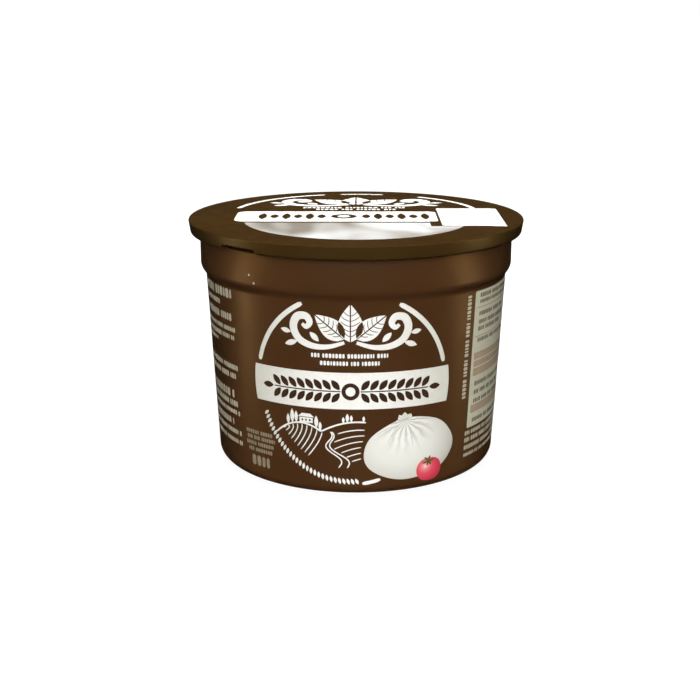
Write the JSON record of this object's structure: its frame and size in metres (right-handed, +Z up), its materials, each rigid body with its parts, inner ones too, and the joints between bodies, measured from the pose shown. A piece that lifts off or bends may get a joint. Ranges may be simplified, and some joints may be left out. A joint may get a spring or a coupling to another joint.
{
  "type": "burrata tub",
  "caption": "Shut round plastic tub of burrata: a tapered pot with a collar below its rim, closed by a press-on lid with a short skirt and a lifting notch.",
  "frame": {"origin": "centre of the ring that the tub stands on, at floor height", "axes": "+Z up along the tub's axis; the printed front faces -Y and +X is to its right"},
  "size_m": [0.098, 0.098, 0.072],
  "materials": {
    "tub_plastic": "semi-gloss moulded plastic, dark brown, printed",
    "lid_plastic": "semi-gloss moulded plastic, olive brown, printed"
  },
  "bodies": {
    "root": {"tub": "tub_plastic", "lid": "lid_plastic"}
  },
  "joints": []
}
